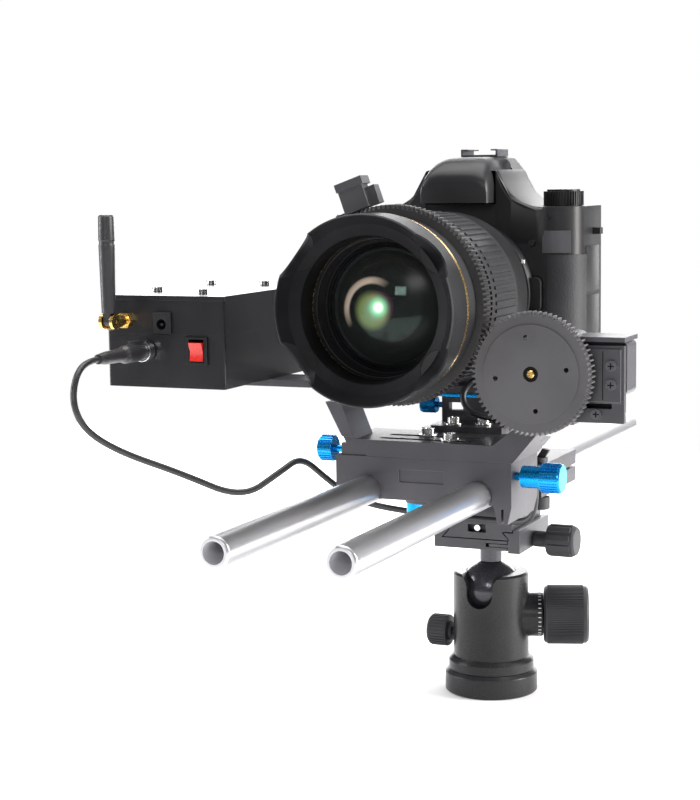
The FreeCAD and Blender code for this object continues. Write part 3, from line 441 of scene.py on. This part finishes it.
def wrap(label, plan, low, high, thickness, slot, body="rig", **options):
    """A pad that follows a line seen from above, from one level up to another."""
    shape = bmesh.new()
    rows = []
    for index, point in enumerate(plan):
        before, after = plan[max(index - 1, 0)], plan[min(index + 1, len(plan) - 1)]
        run = Vector((after[0] - before[0], after[1] - before[1])).normalized()
        out = (point[0] + run.y * thickness, point[1] - run.x * thickness)
        rows.append([shape.verts.new(Vector((*at, z)) * MM)
                     for at, z in ((point, low), (out, low), (out, high), (point, high))])
    for first, second in zip(rows, rows[1:]):
        for index in range(4):
            after = (index + 1) % 4
            shape.faces.new((first[index], first[after], second[after], second[index]))
    shape.faces.new(rows[0])
    shape.faces.new(rows[-1])
    return piece(label, shape, slot, body, **options)


def cap(radius, apex, edge, steps=10):
    """Lathe points of a shallow dome from its apex back to its rim."""
    bulge = (radius ** 2 + (edge - apex) ** 2) / (2 * abs(edge - apex))
    limit = math.asin(min(1, radius / bulge))
    sign = 1 if edge > apex else -1
    return [(bulge * math.sin(limit * index / steps),
             apex + sign * bulge * (1 - math.cos(limit * index / steps))) for index in range(steps + 1)]


def lens_inside():
    """The tunnel behind the front glass: steps of black baffles, and a coated inner element that carries
    painted reflections.
    """
    steps = [(32.4, -149.6)]
    for index in range(3):
        steps += [(31.2 - index * 1.3, -149.4 + index * 0.7), (31.0 - index * 1.3, -148.6 + index * 0.7)]
    lathe("lens_baffles", steps + [(26.8, -146.6)], "lens_black", finish="lens_inside", **LENS_AXIS)
    # Its coating colours are painted reflections.
    lathe("inner_element", cap(27.4, -153.4, -146.6), "lens_glass", finish="painted_reflections", **LENS_AXIS)
    lathe("hood_lining", [(40.3, -174.2), (35.1, -171.7), (34.2, -168.9), (33.9, -161)], "lens_black",
          finish="lens_inside", **LENS_AXIS)
    lathe("front_rim", [(32.2, -150.6), (34.2, -160.9), (35.6, -160.9), (35.6, -160.4)], "lens_black",
          **LENS_AXIS)


def lens_finish():
    """The ring at the mount, and the shoulder that leads up to it."""
    lathe("mount_line", [(37.3, -45.6), (37.3, -44.9), (37.05, -44.9)], "lens_black",
          finish="steel", **LENS_AXIS)
    lathe("mount_shoulder", [(37.2, -43.5), (40.3, -44), (39.9, -46.4), (38.4, -48.4), (37.2, -48.7)],
          "camera_plastic", **LENS_AXIS)
    dome = lathe("front_dome", cap(32.5, -160.9, -144.4, 24), "lens_glass", **LENS_AXIS)
    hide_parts("front_glass")


def camera_finish():
    """Grip leather, a blank badge pad, painted shade dots for the microphone, the mount's mark, and the
    rear's pieces.
    """
    wrap("front_leather", [(47, -44.1), (50.2, -44.1), (55, -41.8), (59.2, -39.2), (61.6, -35.2),
                           (63.3, -31.4), (63.4, -29)], 191, 248, 0.35, "camera_plastic", finish="leather")
    wrap("badge_pad", [(44.4, -44.1), (50.2, -44.1), (54.4, -42.1), (58.4, -39.8)], 249.2, 260.6, 0.3,
         "camera_plastic", finish="clamp_grey")
    # Painted shade: near-black dots where the microphone holes are.
    slabs("microphone_hole_shade", [((x - 0.35, x + 0.35), (-44.2, -43.8), (z - 0.35, z + 0.35))
                         for x, z in ((47.4, 268.4), (48.8, 267.4), (47.9, 266.6))], "camera_plastic",
          finish="lens_inside")
    slabs("index_mark", [((34.4, 36), (-48.9, -47.6), (243.9, 245.7))], "camera_plastic",
          finish="white_paint")
    lathe("eyecup", [(0, 10.2), (7.6, 10.2), (8.2, 13), (12, 13.4), (12.6, 10.4), (12.6, 10)],
          "knob_rubber", at=(0, 0, 286), axis=(0, 1, 0), segments=40, width=0.3)
    lathe("rear_wheel", [(0, 7.4), (9, 7.4), (9.4, 6.9), (9.4, 6)], "camera_plastic", at=(44, 0, 222),
          axis=(0, 1, 0), segments=48, width=0.2)
    slabs("rear_keys", [((x, x + 7), (6, 7), (z, z + 4)) for x, z in
                        ((-40, 252), (-28, 252), (-16, 252), (40, 248), (50, 248), (40, 204), (50, 204))],
          "camera_plastic", width=0.3)
    slabs("side_doors", [((62.9, 63.4), (-28, -4), (196, 226)), ((62.9, 63.4), (-28, -4), (228, 252))],
          "camera_plastic", width=0.2)


SCREW_HEADS = ((106.2, -133.8, 200.6), (106.2, -133.8, 191.7), (98.8, -132.6, 177.6))


BODY_FRONT, PROUD = -44.05, 2.35
FADE_FROM, FADE_TO = 42.2, 46.5


def fade(x):
    """How much of its reach past the body's front a shoulder keeps at x, from all to nothing."""
    part = min(1, max(0, (FADE_TO - x) / (FADE_TO - FADE_FROM)))
    return part * part * (3 - 2 * part)


def smooth(points, steps=6):
    """A Catmull-Rom curve through points, with a number of steps between each two."""
    curve = []
    for index in range(len(points) - 1):
        before, beyond = points[max(index - 1, 0)], points[min(index + 2, len(points) - 1)]
        here, after = points[index], points[index + 1]
        for step in range(steps):
            part = step / steps
            curve.append(tuple(0.5 * (2 * b + (c - a) * part + (2 * a - 5 * b + 4 * c - d) * part ** 2
                                      + (3 * b - a - 3 * c + d) * part ** 3)
                               for a, b, c, d in zip(before, here, after, beyond)))
    return curve + [points[-1]]


def shoulders():
    """Smooth shoulders that run from the pop-up flash down to the camera's top.

    Each row across a shoulder has a y, how far it lies below the curve, and the level it stops at.
    """
    curve = smooth([(19.7, 292.5), (20.6, 291.2), (23.2, 285.6), (27.6, 279.4), (34, 275.2), (41, 273.2),
                    (46.5, 273.1)])
    far = 40
    across_rows = [(BODY_FRONT, far, 254), (-46.4, far, 261.5), (-46.4, 3, 262), (-45.6, 1.3, 262),
                   (-44.2, 0.3, 262), (-42, 0, 262), (0.6, 0, 262), (2.2, 0.6, 262), (3, 2.4, 262),
                   (3, far, 262)]
    for label, sign in (("left", -1), ("right", 1)):
        shape = bmesh.new()
        rows = []
        for y, drop, stop in across_rows:
            rows.append([shape.verts.new(Vector((sign * x, max(y, BODY_FRONT - PROUD * fade(x)),
                                                 max(z - drop, stop))) * MM) for x, z in curve])
        for first, second in zip(rows, rows[1:]):
            for index in range(len(curve) - 1):
                shape.faces.new((first[index], first[index + 1], second[index + 1], second[index]))
        piece(f"shoulder_{label}", shape, "camera_plastic", "rig")


def flash_shell():
    """The pop-up flash as a rounded cap: a soft box section that falls away to the front."""
    shape = bmesh.new()
    stations = [(-57.5, 286.4, 1.6), (-57.2, 288.6, 0.6), (-56.2, 290.6, 0.15), (-54, 292.7, 0),
                (-50.5, 295.2, 0), (-46, 297.2, 0), (-40, 298.7, 0), (-33, 299.3, 0),
                (-25, 299.4, 0), (-19.5, 299.4, 0)]
    count = 40
    rows = []
    for y, top, inset in stations:
        low = 275.4 if y < -24.9 else 291.8
        half, height = 18.9 - inset, top - low
        row = []
        for index in range(count + 1):
            turn = math.pi * index / count
            x = math.copysign(abs(math.cos(turn)) ** 0.5, math.cos(turn)) * half
            z = low + height * math.sin(turn) ** 0.5
            row.append(shape.verts.new(Vector((x, y, z)) * MM))
        rows.append(row)
    for first, second in zip(rows, rows[1:]):
        for index in range(count):
            shape.faces.new((first[index], first[index + 1], second[index + 1], second[index]))
        shape.faces.new((first[0], second[0], second[-1], first[-1]))
    shape.faces.new(rows[0])
    shape.faces.new(rows[-1])
    shell = piece("flash_shell", shape, "camera_plastic", "flash")
    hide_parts("flash_head")


def spindle():
    """The bright end of the motor's spindle in the hole of its gear, whose shade is painted as a
    near-black disc.
    """
    low, high = [tuple(value / MM for value in corner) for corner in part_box("drive_gear")]
    at, face = ((low[0] + high[0]) / 2, 0, (low[2] + high[2]) / 2), low[1]
    # Painted shade: a near-black disc in the gear's hole.
    lathe("spindle_hole_shade", [(3.6, face + 0.75), (0, face + 0.8)], "gear_grey", "drive", at, (0, 1, 0),
          finish="lens_inside", segments=40)
    lathe("spindle_end", [(1.7, face + 0.9), (1.9, face - 0.3), (1.5, face - 0.8), (0, face - 0.8)],
          "gear_grey", "drive", at, (0, 1, 0), finish="gold", segments=40)


def cross_screws():
    """Painted shade as near-black slabs: cross recesses in the three heads of the motor's plate, and the
    slit of its pad.
    """
    arms = []
    for x, y, z in SCREW_HEADS:
        arms += [((x - 1.5, x + 1.5), (y - 0.08, y + 0.3), (z - 0.3, z + 0.3)),
                 ((x - 0.3, x + 0.3), (y - 0.08, y + 0.3), (z - 1.5, z + 1.5))]
    # Painted shade: dark crosses standing for the recesses, which are not cut.
    slabs("screw_recess_shade", arms, "steel", finish="lens_inside")
    for index, (x, y, z) in enumerate(SCREW_HEADS):
        lathe(f"screw_face_{index}", [(2.55, 0.4), (2.55, -0.04), (0, -0.04)], "steel", at=(x, y, z),
              axis=(0, 1, 0), segments=32, finish="dark_steel")
    # Painted shade: a dark sheet behind the slot.
    slabs("slot_shade", [((92.6, 106.4), (-128.6, -128), (179.9, 182.9))], "clamp_grey",
          finish="lens_inside")
    # Painted shade in the pad's slit.
    slabs("pad_slit_shade", [((101.8, 102.2), (-132.3, -132.1), (184.5, 207.5))], "clamp_grey",
          finish="lens_inside")


def head_marks():
    """Pale ticks round the collar of the ball's lock."""
    forward, side, other = across((math.cos(LOCK_TURN), math.sin(LOCK_TURN), 0))
    middle = Vector((0, 0, 43.2)) + forward * 27.2
    shape = bmesh.new()
    for index in range(30):
        turn = 2 * math.pi * index / 30
        out = side * math.cos(turn) + other * math.sin(turn)
        round_about = forward.cross(out)
        for vert in bmesh.ops.create_cube(shape, size=1)["verts"]:
            vert.co = (middle + forward * vert.co.x * 1.6 + round_about * vert.co.y * 0.4
                       + out * (12.4 + vert.co.z * 0.2)) * MM
    piece("lock_scale", shape, "head_black", "housing", finish="white_paint")


def rod_linings():
    """Bright linings in the bored ends of the rods."""
    for node, body in (("rod_left", "left_rod"), ("rod_right", "right_rod")):
        (left, front, low), (right, back, high) = [tuple(value / MM for value in corner)
                                                   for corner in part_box(node)]
        at = ((left + right) / 2, 0, (low + high) / 2)
        for end, mouth, inward in (("front", front, 1), ("rear", back, -1)):
            lathe(f"lining_{body}_{end}", [(5.08, mouth + inward * 0.3), (5.06, mouth + inward * 21.5),
                                           (0, mouth + inward * 21.6)],
                  "rod_silver", body, at, (0, 1, 0), finish="bore_silver", segments=48)


# --------------------------------------------------------------------- stage
def area_light(name, at, aim, size, power, tint=(1, 1, 1)):
    """A rectangular lamp that faces a point: places and sizes in metres, power in watts."""
    data = bpy.data.lights.new(name, "AREA")
    data.shape, data.size, data.size_y = "RECTANGLE", size[0], size[1]
    data.energy, data.color = power, tint
    lamp = bpy.data.objects.new(name, data)
    lamp.location = at
    lamp.rotation_euler = (Vector(aim) - Vector(at)).to_track_quat("-Z", "Y").to_euler()
    bpy.context.scene.collection.objects.link(lamp)


FLOOR_HALF = 0.9
LAMPS = (("overhead", (-0.1, 0.1, 1.4), (0, -0.05, 0.2), (1.4, 1.4), 26),
         ("left", (-1.5, -0.5, 0.6), (0, -0.1, 0.2), (0.5, 1.3), 22),
         ("right", (1.5, 0.25, 0.5), (0, -0.1, 0.2), (0.6, 1.2), 60, (1, 0.98, 0.95)),
         ("behind", (-0.5, 1.7, 0.5), (0, 0, 0.2), (1.8, 1.0), 28),
         ("front", (0.3, -1.9, 0.9), (0, -0.1, 0.2), (0.5, 0.4), 10))


def make_stage():
    """A pale floor that fades to white, a white surround that the camera sees, and soft studio lamps."""
    floor_mesh = bpy.data.meshes.new("floor")
    corners = [(x * FLOOR_HALF, y * FLOOR_HALF, 0) for x, y in ((-1, -1), (1, -1), (1, 1), (-1, 1))]
    floor_mesh.from_pydata(corners, [], [(0, 1, 2, 3)])
    paint = material("floor", (0.86, 0.86, 0.86), 0.8, second=(0.88, 0.88, 0.88), patch=2, grain=40,
                     bump=0.0)
    tree = paint.node_tree
    reach = tree.nodes.new("ShaderNodeVectorMath")
    reach.operation = "LENGTH"
    tree.links.new(object_place(tree), reach.inputs[0])
    shader = tree.nodes["Principled BSDF"]
    shader.inputs["Emission Color"].default_value = (1, 1, 1, 1)
    glow = remap(tree, reach.outputs["Value"], (0.12, 0.6), (0.1, 1.05))
    tree.links.new(glow, shader.inputs["Emission Strength"])
    floor_mesh.materials.append(paint)
    floor = bpy.data.objects.new("floor", floor_mesh)
    bpy.context.scene.collection.objects.link(floor)

    world = bpy.data.worlds.new("studio")
    world.use_nodes = True
    nodes, links = world.node_tree.nodes, world.node_tree.links
    seen = nodes.new("ShaderNodeLightPath")
    mix = nodes.new("ShaderNodeMixShader")
    dim, white = nodes["Background"], nodes.new("ShaderNodeBackground")
    dim.inputs["Color"].default_value = (0.93, 0.94, 1.0, 1)
    dim.inputs["Strength"].default_value = 0.24
    white.inputs["Color"].default_value = (1, 1, 1, 1)
    white.inputs["Strength"].default_value = 1.0
    links.new(seen.outputs["Is Camera Ray"], mix.inputs["Fac"])
    links.new(dim.outputs[0], mix.inputs[1])
    links.new(white.outputs[0], mix.inputs[2])
    links.new(mix.outputs[0], nodes["World Output"].inputs["Surface"])
    scene = bpy.context.scene
    scene.world = world
    scene.view_settings.view_transform = "Standard"

    for lamp in LAMPS:
        area_light(*lamp)


# --------------------------------------------------------------------- cable
CABLE_ROUTE = [(-157.6, -156.4, 198.6), (-157.6, -168.5, 198.6), (-157.2, -179.5, 191.5),
               (-156.2, -184.0, 178.5), (-152.0, -180.0, 165.0), (-140.0, -166.0, 152.6),
               (-117.0, -146.0, 140.2), (-91.5, -127.0, 125.0), (-76.0, -112.4, 138.0),
               (-69.6, -101.0, 144.6), (-62.0, -86.0, 131.0), (-54.0, -68.0, 117.0),
               (-39.0, -54.0, 110.5), (-20.0, -43.0, 107.0), (0.0, -37.0, 104.8),
               (18.0, -36.2, 104.2), (31.0, -41.5, 105.4), (40.5, -50.5, 109.6),
               (44.6, -57.4, 117.5), (45.6, -59.5, 127.5), (44.4, -59.5, 139.0),
               (41.8, -59.5, 150.0), (37.5, -61.5, 160.0), (28.5, -65.0, 163.4),
               (19.5, -67.8, 165.0), (11.0, -68.4, 168.4), (7.4, -66.2, 175.4),
               (10.0, -63.0, 181.6), (17.0, -60.6, 185.0), (26.0, -59.8, 185.2),
               (42.0, -59.2, 184.4), (63.0, -60.0, 186.0), (80.0, -62.0, 190.0),
               (94.0, -70.0, 194.0), (102.0, -82.0, 196.5), (104.0, -94.0, 197.0),
               (104.0, -106.0, 197.0)]
CABLE_RADIUS = 1.7


def make_cable():
    """The motor's cable, as a tube along its route in place of the CAD cord."""
    data = bpy.data.curves.new("motor_cable", "CURVE")
    data.dimensions = "3D"
    spline = data.splines.new("NURBS")
    spline.points.add(len(CABLE_ROUTE) - 1)
    for point, at in zip(spline.points, CABLE_ROUTE):
        point.co = (*(value * MM for value in at), 1)
    spline.order_u = 3
    spline.use_endpoint_u = True
    spline.resolution_u = 8
    data.bevel_depth, data.bevel_resolution = CABLE_RADIUS * MM, 5
    data.use_fill_caps = True
    data.materials.append(MATERIALS["cable_black"])
    cable = bpy.data.objects.new("motor_cable", data)
    bpy.context.scene.collection.objects.link(cable)
    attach(cable, "rig")
    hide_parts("cable")


make_camera()
make_cable()
EDGE_WIDTHS = {"camera_body": 1.4, "front_block": 0.4, "lens_hood": 0.4}
FINISH_OF = {"lens_hood": "hood_black", "gear_clip": "clamp_grey", "hot_shoe": "dark_steel"}
SLOT_OF = {row["node"]: row["material_slot"] for row in frame["record"]["subparts"]}
for node in frame["nodes"]:
    if node != "cable":
        finish_node(node, FINISH_OF.get(node, SLOT_OF[node]), EDGE_WIDTHS.get(node, 0.25))
for add_details in (lens_inside, lens_finish, camera_finish, shoulders, flash_shell, spindle,
                    cross_screws, head_marks, rod_linings, make_stage):
    add_details()
